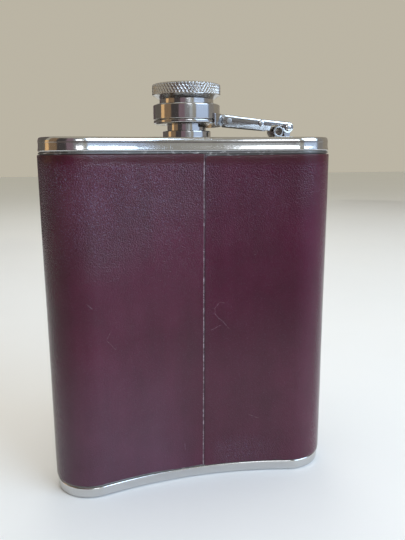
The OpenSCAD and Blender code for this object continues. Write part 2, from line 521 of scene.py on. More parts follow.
def scuff_mask(n, x, z):
    """A hook-shaped scratch by the seam and some short rubs."""
    mask = None
    for width, trail in SCUFFS:
        for start, end in zip(trail, trail[1:]):
            line = scuff_line(n, x, z, start, end, width)
            mask = line if mask is None else n.math("MAXIMUM", mask, line)
    return mask


def pebble_grain(n):
    pebble = n.voronoi(2300, "F1")
    fine = n.noise(2600, 2, 0.6)
    crease = n.noise(1500, 2, 0.6, distort=0.5)
    grain = n.minus(n.times(fine, 0.6), n.times(pebble, 0.6))
    return n.plus(grain, n.times(crease, 0.3))


def grain_relief(n, x, z, curl):
    """How far the grain stands out: flatter low down, to the right and under the top edge."""
    relief = n.span(n.noise(34, 3, 0.6), 0.35, 0.65, 0.5, 1.0)
    relief = n.times(relief, n.span(z, 0.066, 0.102, 0.5, 1.2))
    relief = n.times(relief, n.span(z, 0.1065, 0.109, 1.0, 0.25))
    relief = n.times(relief, n.span(x, -0.024, 0.010, 1.15, 0.7))
    return n.plus(relief, n.times(curl, 1.1))


def leather_colour(n, x, z, back, curl, broad, tone):
    """Dye, stains, painted shade, painted floor reflection and painted glints; not the seam or
    scratches.
    """
    colour = n.ramp(tone, DYE)
    # the glue under the top edge has stained and flattened the leather
    stain = n.times(n.span(z, *GLUE_LINE), n.span(n.noise(120, 3, 0.6), 0.3, 0.6, 0.4, 0.9))
    colour = n.mix(stain, colour, GLUE_STAIN)
    pores = n.span(n.noise(2600, 2, 0.6), 0.36, 0.5, 0.72, 1.0)
    colour = n.mix(1.0, colour, n.mix(pores, (0.62, 0.62, 0.62), (1.0, 1.0, 1.0)), "MULTIPLY")

    # painted shade: darker at the left end and in a broad band right of the seam
    shade = n.times(n.span(x, -0.0476, -0.0385, 0.6, 1.0),
                    n.span(n.size(n.minus(x, 0.02)), 0.004, 0.018, 0.88, 1.0))
    colour = n.mix(shade, (0.0, 0.0, 0.0), colour)

    # painted reflection of the pale floor towards the foot of the side left of the seam
    floor_reflection = n.times(n.span(z, 0.052, 0.014), n.span(x, 0.002, -0.014, 0.1, 1.0))
    floor_reflection = n.times(n.times(floor_reflection, back), n.span(broad, 0.3, 0.6, 0.13, 0.21))
    colour = n.mix(floor_reflection, colour, PAINTED_FLOOR_REFLECTION)

    # painted glints on the tips of the grain, strongest up on the left of the seam side and on the
    # curl
    glint_specks = n.span(n.noise(3100, 2, 0.7), 0.56, 0.68)
    glint_mask = n.times(n.span(x, 0.004, -0.026, 0.4, 1.0), n.span(z, 0.068, 0.098))
    glint_mask = n.times(glint_mask, n.span(z, *GLUE_LINE, 1.0, 0.1))
    glint_mask = n.times(glint_mask, n.span(n.noise(60, 2), 0.35, 0.6, 0.4, 1.0))
    glint_mask = n.math("MAXIMUM", n.times(glint_mask, back), 0.12)
    glint_mask = n.math("MAXIMUM", glint_mask, n.times(curl, 0.5))
    return n.mix(n.times(glint_specks, glint_mask), colour, PAINTED_GLINT)


def seam_masks(n, x, z, back):
    """The frayed raw edge left of the butt seam and the shade right of it."""
    seam = n.span(z, 0.0046, 0.111, SEAM_LOW * MM, SEAM_TOP * MM)
    away = n.size(n.minus(x, n.minus(seam, 0.00018)))
    fray = n.times(n.noise(1800, 3, 0.7), 0.0004)
    edge = n.span(n.plus(away, fray), 0.00026, 0.00046, 1.0, 0.0)
    dots = n.span(n.noise(620, 3, 0.7, n.stretch((0.2, 0.2, 1.0))), 0.46, 0.62)
    edge = n.times(n.times(edge, back), n.plus(0.24, n.times(dots, 0.76)))
    dark = n.size(n.minus(x, n.plus(seam, 0.0002)))
    return edge, n.times(n.span(dark, 0.0001, 0.0006, 1.0, 0.0), back)


def leather_material():
    """Pebbled burgundy leather with a raw pale edge at the seam and a few scratches."""
    n = Nodes("burgundy_leather")
    x, y, z = n.parts()
    # the concave side, which has the seam
    back = n.span(y, -0.006, -0.007)
    # the curl above the foot, right of the seam, has kept its grain
    curl = n.times(n.span(z, 0.0165, 0.0105), n.span(x, 0.004, 0.008))
    curl = n.times(curl, n.span(x, 0.018, 0.034, 1.0, 0.0))

    broad = n.noise(28, 4, 0.55)
    patch = n.noise(90, 3, 0.6)
    streaks = n.noise(160, 3, 0.6, n.stretch((1.0, 1.0, 0.12)))
    tone = n.plus(n.times(broad, 0.5), n.times(patch, 0.25))
    tone = n.plus(tone, n.times(streaks, 0.25))

    edge, dark = seam_masks(n, x, z, back)
    scratch = n.times(n.times(scuff_mask(n, x, z), n.span(n.noise(1500, 2), 0.3, 0.6)), back)
    colour = leather_colour(n, x, z, back, curl, broad, tone)
    colour = n.mix(n.times(dark, 0.4), colour, SEAM_SHADE)
    colour = n.mix(edge, colour, RAW_EDGE)
    colour = n.mix(n.times(scratch, 0.5), colour, SCRATCH)

    # the finish has worn duller at the left end and right of the seam
    gloss = n.times(n.span(x, 0.0, 0.006), n.span(z, 0.03, 0.065, 0.0, 0.3))
    gloss = n.times(n.minus(1.0, gloss), n.span(x, -0.046, -0.032, 0.32, 0.45))
    grain = pebble_grain(n)
    rough_value = n.span(tone, 0.35, 0.65, 0.19, 0.13)
    rough_value = n.plus(rough_value, n.times(grain, -0.06))
    rough_value = n.plus(rough_value, n.times(edge, 0.4), clamp=True)

    normal = n.bump(n.times(grain, grain_relief(n, x, z, curl)), 1.0, 0.0003)
    normal = n.bump(n.noise(75, 3), 0.12, 0.0012, normal)
    normal = n.bump(n.plus(edge, n.times(scratch, -0.7)), 0.5, 0.0002, normal)
    return n.surface(Base_Color=colour, Roughness=rough_value, Normal=normal,
                     Specular_IOR_Level=gloss, Sheen_Weight=0.02, Sheen_Roughness=0.4,
                     Sheen_Tint=(0.75, 0.6, 0.85))


def painted_shade_shell_material():
    """Steel in the gaps beside the bands, made dark as painted shade for the gaps, with streaks of
    dried glue.
    """
    n = Nodes("shell_painted_shade")
    cloud = n.noise(150, 4, 0.6)
    glue = n.span(n.noise(480, 3, 0.7, n.stretch((1.0, 1.0, 2.2))), 0.56, 0.66)
    glue = n.times(glue, n.span(n.noise(45, 2), 0.4, 0.55))
    # painted shade: a dark steel colour stands for the shadow in the gaps
    colour = n.mix(cloud, (0.13, 0.13, 0.13), (0.26, 0.25, 0.24))
    colour = n.mix(glue, colour, (0.50, 0.48, 0.47))
    normal = n.bump(n.plus(n.noise(900, 3), glue), 0.4, 0.0001)
    return n.surface(Base_Color=colour, Metallic=n.minus(1.0, glue), Normal=normal,
                     Roughness=n.span(cloud, 0.35, 0.65, 0.28, 0.5))


def liner_material():
    n = Nodes("liner_rubber")
    speck = n.noise(2400, 3)
    colour = n.mix(speck, (0.56, 0.54, 0.48), (0.66, 0.64, 0.60))
    normal = n.bump(n.noise(1600, 3), 0.25, 0.0001)
    return n.surface(Base_Color=colour, Roughness=n.span(speck, 0.3, 0.7, 0.5, 0.65),
                     Normal=normal)


def floor_material():
    n = Nodes("pale_floor")
    colour = n.mix(n.noise(6, 3), (0.82, 0.85, 0.87), (0.86, 0.88, 0.89))
    normal = n.bump(n.noise(400, 3), 0.05, 0.0005)
    return n.surface(Base_Color=colour, Roughness=n.span(n.noise(40, 2), 0.3, 0.7, 0.55, 0.7),
                     Normal=normal)


BAND = steel("band_steel", (0.08, 0.19), 0.05, grain=(0.06, 0.06, 1.6))
TURNED = steel("turned_steel", (0.06, 0.16), 0.035, grain=(0.25, 0.25, 2.2))
KNURL = steel("knurl_steel", (0.12, 0.26), 0.05, tone=0.58)
ARM = steel("arm_steel", (0.1, 0.24), 0.06, grain=(0.15, 1.0, 1.0), tone=0.5)
SHELL = painted_shade_shell_material()
ROLL = steel("roll_steel", (0.2, 0.36), 0.08, tone=0.34)
LEATHER = leather_material()
LINER = liner_material()


# ---------------- flask body


def leather_shift(loop, t, z):
    """Uneven cut edges, a slight swell and a lifted lip at the seam."""
    # distance round the outline from the seam, negative to its left
    arc = loop[:, 4]
    total = arc[-1] + (arc[-1] - arc[-2])
    signed = np.where(arc > total / 2, arc - total, arc)
    outer = np.clip((t - LEATHER_IN) / (LEATHER_OUT - LEATHER_IN), 0, 1)
    middle = (LEATHER_TOP + LEATHER_LOW) / 2
    wave_top = np.array([noise.noise(Vector((a * 0.05, 1.7, 0))) for a in signed])
    wave_low = np.array([noise.noise(Vector((a * 0.06, 9.1, 0))) for a in signed])
    # right of the seam the sleeve was cut shorter at both ends
    right = 1 / (1 + np.exp(-(signed - 0.2) / 0.25)) * (signed < 60)
    fall = np.where(right > 0.5, np.exp(-np.clip(signed, 0, None) / 26), 0)
    top_cut = 0.12 * wave_top - 0.75 * right * fall
    low_cut = 0.15 * wave_low - 0.55 * right * np.where(signed < 45, 1, 0)
    low_cut -= 0.35 * np.exp(-((signed + 8) / 7.0) ** 2)
    # only the ends of the sleeve move up or down
    up = np.clip((z - middle) / (LEATHER_TOP - middle), 0, 1) ** 6
    down = np.clip((middle - z) / (middle - LEATHER_LOW), 0, 1) ** 6
    z = z + top_cut[:, None] * up + low_cut[:, None] * down
    swell = np.empty_like(t)
    for (i, j), zz in np.ndenumerate(z):
        x, y = loop[i, :2]
        swell[i, j] = 0
        if outer[i, j] > 0.4:
            swell[i, j] = 0.10 * noise.noise(Vector((x * 0.045, y * 0.045, zz * 0.03)))
            swell[i, j] += 0.035 * noise.noise(Vector((x * 0.3, y * 0.3, zz * 0.12 + 7)))
    lip = np.exp(-np.abs(signed) / 0.9)
    swell += outer * lip[:, None] * (0.05 + 0.05 * np.sin(z * 0.35 + 1))
    # the last term keeps the swell within the leather's CAD box
    return t + (swell - 0.07) * outer, z


def make_leather():
    corners = [(LEATHER_IN, LEATHER_LOW), (LEATHER_OUT, LEATHER_LOW),
               (LEATHER_OUT, LEATHER_TOP), (LEATHER_IN, LEATHER_TOP)]
    profile = fillet(corners, [0, 0.35, 0.35, 0], 4)
    profile = split(profile, 1.2)
    loop = outline(0.5)
    # the sleeve is open at the seam: its first and last columns are the cut edges
    gap = 0.16
    rows, cols = len(loop), len(profile)
    t = np.repeat(profile[None, :, 0], rows, axis=0)
    z = np.repeat(profile[None, :, 1], rows, axis=0)
    t, z = leather_shift(loop, t, z)
    verts = np.empty((rows + 1, cols, 3))
    ends = np.vstack([loop, loop[0]])
    t = np.vstack([t, t[0]])
    z = np.vstack([z, z[0]])
    verts[..., 0] = ends[:, None, 0] + ends[:, None, 2] * t
    verts[..., 1] = ends[:, None, 1] + ends[:, None, 3] * t
    verts[..., 2] = z
    # lean the seam and part its two edges
    height = LEATHER_TOP - LEATHER_LOW
    lean = SEAM_LOW + (SEAM_TOP - SEAM_LOW) * (verts[..., 2] - LEATHER_LOW) / height
    arc = np.append(loop[:, 4], loop[-1, 4] + 0.5)
    near_start = np.exp(-arc / 4)[:, None]
    near_end = np.exp(-(arc[-1] - arc) / 4)[:, None]
    offset = lean - loop[0, 0]
    rag = np.array([[0.04 * noise.noise(Vector((3.3, 0, zz * 1.1))) for zz in row]
                    for row in verts[..., 2]])
    verts[..., 0] += near_start * (offset + gap / 2 + rag) + near_end * (offset - gap / 2 + rag)
    faces = grid_faces(rows + 1, cols, False, True)
    faces.append(tuple(range(cols)))
    faces.append(tuple(rows * cols + j for j in reversed(range(cols))))
    obj = add_object("leather_sleeve", verts.reshape(-1, 3), faces, 50)
    tidy(obj, 1e-7)
    return place(obj, "flask", LEATHER, "leather_wrap", slot="leather")


def make_shell():
    # a bead at each end fills the gap between the leather and the band
    bead = 0.55
    rim = -0.04
    low = box_mm("body_shell")[0][2]
    high = box_mm("body_shell")[1][2]
    top = BAND_LOW - 0.45 - bead
    foot = BASE_HIGH + 0.15
    corners = [(SHELL_IN, low), (SHELL_OUT, low),
               (SHELL_OUT, foot), (rim, foot), (rim, foot + bead), (SHELL_OUT, foot + bead),
               (SHELL_OUT, top), (rim, top), (rim, top + bead), (SHELL_OUT, top + bead),
               (SHELL_OUT, high), (SHELL_IN, high)]
    radii = [0, 0, 0.1, 0.22, 0.22, 0.1, 0.1, 0.22, 0.22, 0.1, 0, 0]
    obj = loft("shell", fillet(corners, radii, 4))
    return place(obj, "flask", SHELL, "body_shell", slot="steel")


def cover(name, height, inset, flip, hole=None):
    """Flat sheet filling the outline at one height, with an optional round hole."""
    loop = outline(0.8)
    ring = [(x + nx * inset, y + ny * inset) for x, y, nx, ny, _ in loop]
    bm = bmesh.new()
    edges = []
    loops = [ring]
    if hole:
        cx, cy, r = hole
        loops.append([(cx + r * math.cos(a), cy + r * math.sin(a))
                      for a in np.linspace(0, 2 * math.pi, 96, endpoint=False)])
    for points in loops:
        verts = [bm.verts.new((x * MM, y * MM, height * MM)) for x, y in points]
        edges += [bm.edges.new(pair) for pair in zip(verts, verts[1:] + verts[:1])]
    bmesh.ops.triangle_fill(bm, use_beauty=True, use_dissolve=False, edges=edges)
    for face in bm.faces:
        if (face.normal.z < 0) != flip:
            face.normal_flip()
    mesh = bpy.data.meshes.new(name)
    bm.to_mesh(mesh)
    bm.free()
    return link(name, mesh)


def join(target, others):
    """Adds other meshes to the target's mesh."""
    bm = bmesh.new()
    bm.from_mesh(target.data)
    for other in others:
        bm.from_mesh(other.data)
        bpy.data.objects.remove(other)
    bmesh.ops.remove_doubles(bm, verts=bm.verts, dist=2e-6)
    bm.to_mesh(target.data)
    bm.free()
    return target


# the top band's side, downwards: where each stretch ends, below the top, and how many degrees it
# leans outwards
TOP_WALL = ((0.92, 15), (1.22, 10), (1.36, 2), (1.58, -8), (1.85, -5), (2.1, 0), (2.4, 2),
            (2.8, 4), (3.2, 6.5), (3.7, 8.5), (3.95, 5), (4.15, -14), (4.3, -42))
# how far inside the outline the flat sheets of the top and the base end
TOP_COVER, BASE_COVER = -2.2, -2.4


def make_top():
    # drawn tray: rolled upper edge, a waist, a wall that flares and a turned-in lower lip
    wall, offset, depth = [], -0.28, 0.6
    for to, lean in TOP_WALL:
        offset += math.tan(math.radians(lean)) * (to - depth)
        depth = to
        wall.append((offset, TOP - depth))
    lip = TOP - depth
    profile = [(TOP_COVER, TOP - 0.8), (-SHEET - 0.35, TOP - 0.8), (-SHEET, TOP - 1.2),
               (-SHEET, lip + 0.1), (-SHEET + 0.06, lip), (offset - 0.08, lip - 0.02)]
    profile += wall[::-1]
    profile += [(-0.28, TOP - 0.6), (-0.37, TOP - 0.38), (-0.5, TOP - 0.19), (-0.7, TOP - 0.06),
                (-0.95, TOP), (-1.5, TOP), (-1.8, TOP - 0.04), (TOP_COVER, TOP - 0.1)]
    profile = np.array(profile)
    band = loft("top_tray", profile, 0.6)
    tidy(band)
    hole = (0, NECK_Y, box_mm("neck_tube")[1][0] + 0.02)
    plate = cover("top_sheet", TOP - 0.1, TOP_COVER, False, hole)
    under = cover("top_under", TOP - 0.8, TOP_COVER, True, hole)
    join(band, [plate, under])
    smooth(band.data)
    return place(band, "flask", BAND, "top_plate")


def make_base():
    profile = np.array([
        (BASE_COVER, 0.8), (-SHEET - 0.3, 0.8), (-SHEET, 1.1), (-SHEET, BASE_HIGH - 0.08),
        (-SHEET + 0.1, BASE_HIGH), (-0.34, BASE_HIGH), (-0.22, BASE_HIGH - 0.05),
        (-0.1, BASE_HIGH - 0.18), (-0.03, BASE_HIGH - 0.38), (0.0, BASE_HIGH - 0.62),
        (0.0, 2.6), (-0.01, 1.6), (-0.05, 1.0), (-0.14, 0.6), (-0.3, 0.3), (-0.55, 0.1),
        (-0.9, 0.01), (-1.3, 0.0), (-1.9, 0.02), (BASE_COVER, 0.12),
    ])
    band = loft("base_tray", profile, 0.6)
    tidy(band)
    sole = cover("base_sole", 0.12, BASE_COVER, True)
    inner = cover("base_inner", 0.8, BASE_COVER, False)
    join(band, [sole, inner])
    smooth(band.data)
    return place(band, "flask", BAND, "base_plate")


make_leather()
make_shell()
make_top()
make_base()


# ---------------- neck

AXIS = (0, NECK_Y)
RING_R = box_mm("neck_ring")[1][0]
RING_TOP = box_mm("neck_ring")[1][2]
NECK_R = box_mm("neck_tube")[1][0]
NECK_TOP = box_mm("neck_tube")[1][2]
NECK_LOW = box_mm("neck_tube")[0][2]
FLANGE = box_mm("cap_flange")
COLLAR = box_mm("collar_band")
HEAD = box_mm("cap_head")
SLEEVE = box_mm("cap_sleeve")
# outer and root radius of the neck's thread, and the neck's bore
THREAD_R, ROOT_R, BORE_R = 6.2, 5.75, 4.9


def make_neck():
    corners = [(NECK_R + 0.02, TOP), (RING_R - 0.1, TOP), (RING_R, TOP + 0.12),
               (RING_R, RING_TOP - 0.1), (RING_R - 0.5, RING_TOP), (NECK_R + 0.02, RING_TOP)]
    ring = lathe("neck_base", fillet(corners, [0, 0.05, 0.05, 0.35, 0.25, 0], 5), AXIS)
    place(ring, "flask", TURNED, "neck_ring")

    shoulder = FLANGE[0][2] + 0.3
    start, end = shoulder + 0.8, NECK_TOP - 0.5

    def thread(r, angle, along):
        turn = ((along - angle / (2 * math.pi) * THREAD_PITCH) / THREAD_PITCH) % 1.0
        ridge = np.clip(1 - np.abs(turn - 0.5) / 0.28, 0, 1)
        ridge = np.clip(ridge * 1.6, 0, 1)
        fade = np.clip((along - start) / 0.5, 0, 1) * np.clip((end - along) / 0.4, 0, 1)
        outside = r > ROOT_R - 0.01
        return r + np.where(outside & (along > start - 0.1), (THREAD_R - ROOT_R) * ridge * fade, 0)

    corners = [(BORE_R, NECK_LOW), (NECK_R, NECK_LOW), (NECK_R, shoulder),
               (ROOT_R, shoulder + 0.6), (ROOT_R, NECK_TOP), (BORE_R, NECK_TOP)]
    profile = fillet(corners, [0, 0, 0.15, 0.1, 0.25, 0.25], 4)
    tube = lathe("neck_spout", split(profile, 0.09), AXIS, segments=144, radius=thread, sharp=60)
    place(tube, "flask", TURNED, "neck_tube")


make_neck()


# ---------------- collar and cap


def make_collar():
    inner = CAP_STEM_R + 0.06
    low, high = COLLAR[0][2], COLLAR[1][2]
    r = COLLAR[1][0]
    corners = [(inner, low), (r, low), (r, high - 0.35), (r - 0.5, high), (inner, high)]
    band = lathe("collar_ring", fillet(corners, [0, 0.22, 0.35, 0.3, 0.05], 6), AXIS)
    place(band, "collar", TURNED, "collar_band")


def make_lug():
    lug = box_mm("collar_lug")
    out_r = 11.65
    low, high = lug[0][2], lug[1][2]
    half_turn = math.radians(51)
    r0 = COLLAR[1][0] + 0.01
    step = COLLAR[0][2]
    corners = [(r0 + 0.19, low), (out_r, low), (out_r, high), (r0, high), (r0, step + 0.2),
               (r0 + 0.19, step)]
    profile = fillet(corners, [0.08, 0.28, 0.3, 0.1, 0, 0], 4)
    steps = 40
    angles = np.linspace(-half_turn, half_turn, steps + 1)
    verts = []
    for a in angles:
        # the two ends of the saddle thin towards the collar
        taper = 1 - 0.25 * (1 - min(1.0, (half_turn - abs(a)) / math.radians(1.5))) ** 2
        for r, z in profile:
            rr = r0 + (r - r0) * taper
            verts.append((rr * math.cos(a), NECK_Y + rr * math.sin(a), z))
    cols = len(profile)
    faces = grid_faces(steps + 1, cols, False, True)
    faces.append(tuple(range(cols)))
    faces.append(tuple(steps * cols + j for j in reversed(range(cols))))
    saddle = add_object("lug", verts, faces)
    tidy(saddle)

    tongue = circle(PX, PZ, 1.25, 20, -math.pi / 2, math.pi / 2)
    tongue += [(PX - 1.0, PZ + 1.25), (PX - 1.05, PZ + 2.0), (out_r - 0.5, PZ + 2.1),
               (out_r - 0.5, PZ - 1.5), (PX - 1.0, PZ - 1.4)]
    tongue = prism("tongue", tongue, NECK_Y - TONGUE_HALF, NECK_Y + TONGUE_HALF, 0.2)
    combine(saddle, [tongue], "UNION")
    hole = prism("hole", circle(PX, PZ, PIN_HOLE_R), NECK_Y - 4, NECK_Y + 4)
    combine(saddle, [hole])
    smooth(saddle.data, 40)
    flatten(saddle)
    place(saddle, "collar", ARM, "collar_lug")


def make_head():
    r = HEAD[1][0]
    low, high = HEAD[0][2], HEAD[1][2]
    band_low = low + 1.3
    grooves, depth = 60, 0.44
    lead = math.tan(math.radians(33)) / r
    rim, fine, coarse = r - 0.6, 0.1, 0.6

    corners = [(CAP_STEM_R, low), (r - 0.55, band_low - 0.12), (r - 0.12, band_low),
               (r, band_low + 0.2), (r, high - 0.5), (r - 0.18, high - 0.28), (r - 0.75, high),
               (0.0, high)]
    profile = [np.array(corners[0], float)]
    for a, b in zip(corners, corners[1:]):
        a, b = np.array(a, float), np.array(b, float)
        length = fine if a[0] > rim and b[0] > rim - 0.2 else coarse
        parts = max(1, math.ceil(np.linalg.norm(b - a) / length))
        profile += [a + (b - a) * (k + 1) / parts for k in range(parts)]
    # socket under the head, closed
    roof = low + 1.8
    profile += [np.array((0.0, roof)), np.array((CAP_STEM_R, roof))]

    def knurl(rad, angle, along):
        left = np.abs(((angle + (along - low) * lead) * grooves / (2 * math.pi)) % 1 - 0.5) * 2
        right = np.abs(((angle - (along - low) * lead) * grooves / (2 * math.pi)) % 1 - 0.5) * 2
        # the two wheels bit unevenly: one direction is deeper, the other on a short arc
        swap = np.clip((np.cos(angle + math.radians(38)) - 0.66) / 0.2, 0, 1)
        deep_left, deep_right = 1 - 0.65 * swap, 0.35 + 0.65 * swap
        cut = np.maximum(deep_left * (1 - left * 1.05).clip(0, 1),
                         deep_right * (1 - right * 1.05).clip(0, 1))
        edge = np.clip((along - band_low - 0.02) / 0.25, 0, 1)
        edge = edge * np.clip((high - 0.32 - along) / 0.25, 0, 1)
        outside = rad > r - 0.15
        return rad - np.where(outside, depth * cut * edge, 0)

    head = lathe("cap_knob", profile, AXIS, segments=grooves * 16, radius=knurl, sharp=18)
    place(head, "cap", KNURL, "cap_head")


def make_sleeve():
    low, high = SLEEVE[0][2], SLEEVE[1][2]
    r = SLEEVE[1][0]
    roof = box_mm("cap_liner")[1][2] + 0.02
    bore = 7.15

    def thread(rad, angle, along):
        turn = ((along - angle / (2 * math.pi) * THREAD_PITCH) / THREAD_PITCH + 0.5) % 1.0
        ridge = np.clip((1 - np.abs(turn - 0.5) / 0.3) * 1.5, 0, 1)
        fade = np.clip((along - low - 0.7) / 0.5, 0, 1) * np.clip((roof - 1.6 - along) / 0.4, 0, 1)
        inside = (rad < bore + 0.01) & (rad > bore - 0.01)
        return rad - np.where(inside, 0.35 * ridge * fade, 0)

    seat = COLLAR[1][2] + 0.02
    flare = 0.04
    corners = [(bore + 0.35, low), (r, low), (r, seat), (r + flare, seat), (r, HEAD[0][2] + 0.1),
               (r, high), (0, high), (0, roof), (bore, roof), (bore, low + 0.35)]
    profile = fillet(corners, [0.1, 0.12, 0, 0.05, 0.1, 0, 0, 0, 0, 0.1], 3)
    sleeve = lathe("cap_stem", split(profile, 0.12), AXIS, segments=128, radius=thread, sharp=60)
    place(sleeve, "cap", TURNED, "cap_sleeve")


def make_liner():
    box = box_mm("cap_liner")
    low, high, r = box[0][2], box[1][2], box[1][0]
    corners = [(0, low + 0.12), (3.2, low + 0.12), (3.5, low), (6.6, low), (r, low + 0.2),
               (r, high), (0, high)]
    liner = lathe("cap_seal", fillet(corners, [0, 0.1, 0.1, 0.3, 0.1, 0, 0], 4), AXIS, segments=96)
    place(liner, "cap", LINER, "cap_liner", slot="liner")


def make_flange():
    low, high, r = FLANGE[0][2], FLANGE[1][2], FLANGE[1][0]
    corners = [(CAP_STEM_R, low), (r - 0.5, low), (r, low + 0.42), (r, high), (CAP_STEM_R, high)]
    ring = lathe("cap_ring", fillet(corners, [0, 0.35, 0.25, 0.2, 0], 5), AXIS)
    place(ring, "cap", TURNED, "cap_flange")


make_collar()
make_lug()
make_head()
make_sleeve()
make_liner()
make_flange()


# ---------------- arm and hinge

ARM_W, ARM_T = 5.2, 0.7
KNUCKLE_R, FORK_R = 1.9, 2.0


def arm_side():
    """Side outline of the arm: fork end, tapering shank, neck over the roll, knuckle."""
    fork = 2.28
    start = math.pi - math.asin(FORK_R / fork)
    points = circle(PX, PZ, fork, 20, start, math.radians(238))
    points += [(21.0, TOP + 2.86), (28.0, TOP + 2.3), (28.5, TOP + 3.3), (28.9, TOP + 4.2),
               (29.6, TOP + 4.3)]
    points += circle(HX, HZ, KNUCKLE_R, 30, math.radians(-204), math.radians(86))
    points += [(31.5, TOP + 5.6), (28.0, TOP + 5.86), (24.4, TOP + 6.14), (20.9, TOP + 6.5),
               (17.4, TOP + 6.98)]
    return points


def roll_shoulders(arm, half):
    """Leans the top of both cheeks inwards, and their lower halves under from a soft crease."""
    start, end = Vector((PX, 0, PZ + FORK_R)), Vector((HX, 0, HZ + KNUCKLE_R))
    along = (end - start).normalized()
    down = Vector((along.z, 0, -along.x))
    deep, lean, toe = 0.9, 0.3, math.tan(math.radians(5))
    crease, under = 2.1, math.tan(math.radians(12.5))
    bm = bmesh.new()
    bm.from_mesh(arm.data)
    for cut in [deep * (k + 0.15) / 6 for k in range(7)] + [crease - 0.12, crease + 0.12]:
        point = (start + down * cut) * MM
        geometry = list(bm.verts) + list(bm.edges) + list(bm.faces)
        bmesh.ops.bisect_plane(bm, geom=geometry, plane_co=point, plane_no=down, dist=1e-7)
    for v in bm.verts:
        side = v.co.y / MM - NECK_Y
        below = (v.co / MM - start).dot(down)
        inset = lean * max(0.0, 1 - below / deep) ** 2 + toe * max(0.0, min(below, crease) - deep)
        inset += under * max(0.0, below - crease)
        if abs(side) > half - 0.3:
            v.co.y = (NECK_Y + math.copysign(abs(side) - inset, side)) * MM
    bm.to_mesh(arm.data)
    bm.free()


def make_arm():
    half = ARM_W / 2
    arm = prism("arm", arm_side(), NECK_Y - half, NECK_Y + half, 0.16, 3)
    roll_shoulders(arm, half)
    gap = half - ARM_T
    inside = [(PX - 9, PZ - 9), (HX + 9, PZ - 9), (HX + 9, HZ + 9), (HX - 2.65, HZ + 9),
              (HX - 2.65, HZ + 1.2), (PX + 7, TOP + 5.85), (PX + 0.85, PZ + 1.25),
              (PX + 0.85, PZ + 9), (PX - 9, PZ + 9)]
    combine(arm, [prism("channel", inside, NECK_Y - gap, NECK_Y + gap)])
    bevelled(arm, 0.1, 40)
    flatten(arm)
    place(arm, "arm", ARM, "arm_channel")


def rivet(name, x, z, head_r, head_t, node, material):
    """Pin along Y with a domed head outside each cheek."""
    half = ARM_W / 2 + 0.01
    top = half + head_t
    dome = 0.6
    profile = [(0.0, top), (head_r * 0.35, top - 0.04 * dome)]
    profile += [(head_r * 0.7, top - 0.22 * dome * head_t), (head_r * 0.92, top - 0.5 * head_t),
                (head_r, half + 0.25 * head_t), (head_r, half), (PIN_R, half)]
    mirrored = [(a, -b) for a, b in reversed(profile)]
    pin = lathe(name, profile + mirrored, (x, NECK_Y, z), axis="Y", segments=56, closed=False,
                sharp=45)
    place(pin, "arm", material, node)


ROLL_BOX = box_mm("stop_roll")
ROLL_R = (ROLL_BOX[1][0] - ROLL_BOX[0][0]) / 2


def make_bracket():
    tongue = circle(HX, HZ, KNUCKLE_R - 0.2, 30, math.radians(-30), math.radians(210))
    tongue += [(HX - 0.8, TOP + 0.45), (HX - 1.1, TOP + 0.25), (HX + 1.3, TOP + 0.25),
               (HX + 0.9, TOP + 0.45)]
    post = prism("bracket", tongue, NECK_Y - TONGUE_HALF, NECK_Y + TONGUE_HALF, 0.18)
    left, right = (corner[0] for corner in box_mm("hinge_bracket"))
    foot_points = fillet([(left, TOP), (right, TOP), (right, TOP + 0.5), (left, TOP + 0.5)],
                         [0, 0, 0.2, 0.2], 3)
    foot = prism("foot", [tuple(p) for p in foot_points], NECK_Y - 3, NECK_Y + 3, 0.15)
    combine(post, [foot], "UNION")
    hole = prism("hole", circle(HX, HZ, PIN_HOLE_R), NECK_Y - 4, NECK_Y + 4)
    # the roll rests against the bracket in a hollow of its own radius
    seat = circle(*middle_of("stop_roll"), ROLL_R + 0.02, 60)
    combine(post, [hole, prism("seat", seat, NECK_Y - 9, NECK_Y + 9)])
    smooth(post.data, 40)
    flatten(post)
    place(post, "flask", ARM, "hinge_bracket")


def make_roll():
    # a curled strip: its inner end shows as a small step in the bore
    low, high = ROLL_BOX[0][1] - NECK_Y, ROLL_BOX[1][1] - NECK_Y
    rx, rz = middle_of("stop_roll")

    def curl(rad, angle, along):
        inside = rad < ROLL_R - 0.5
        return np.where(inside, rad - 0.12 * ((angle / (2 * math.pi) + 0.1) % 1), rad)

    corners = [(ROLL_R - 0.65, low), (ROLL_R, low), (ROLL_R, high), (ROLL_R - 0.65, high)]
    tube = lathe("roll", fillet(corners, [0.18, 0.22, 0.22, 0.18], 4), (rx, NECK_Y, rz), axis="Y",
                 segments=72, radius=curl, sharp=50)
    place(tube, "flask", ROLL, "stop_roll")


make_arm()
rivet("pin_hinge", HX, HZ, 1.3, 0.45, "hinge_pin", ARM)
rivet("pin_collar", PX, PZ, 0.85, 0.05, "collar_pin", ROLL)
rivet("dimple", *middle_of("arm_rivet"), 1.05, 0.3, "arm_rivet", ARM)
make_bracket()
make_roll()


# ---------------- stage, light, camera


def polar(angle, distance, height):
    """A point round the flask, in degrees from -Y, in front of the concave back, towards +X."""
    a = math.radians(angle)
    return (distance * math.sin(a), -distance * math.cos(a), height)


def make_stage():
    mesh = bpy.data.meshes.new("floor")
    size = 3.0
    mesh.from_pydata([(-size, -size, 0), (size, -size, 0), (size, size, 0), (-size, size, 0)],
                     [], [(0, 1, 2, 3)])
    mesh.materials.append(floor_material())
    floor = link("floor", mesh)


def glow_card(name, verts, faces, tone):
    """A dim self-lit card that only shows in reflections and bounce light."""
    material = Nodes(name)
    cloud = material.noise(3, 2)
    shade = material.mix(cloud, tuple(0.85 * c for c in tone), tuple(1.1 * c for c in tone))
    material.surface(Base_Color=(0.02, 0.02, 0.02), Roughness=1.0, Emission_Color=shade,
                     Emission_Strength=1.0)
    mesh = bpy.data.meshes.new(name)
    mesh.from_pydata(verts, [], faces)
    mesh.materials.append(material.material)
    obj = link(name, mesh)
    obj.visible_camera = False
    obj.visible_shadow = False
    return obj


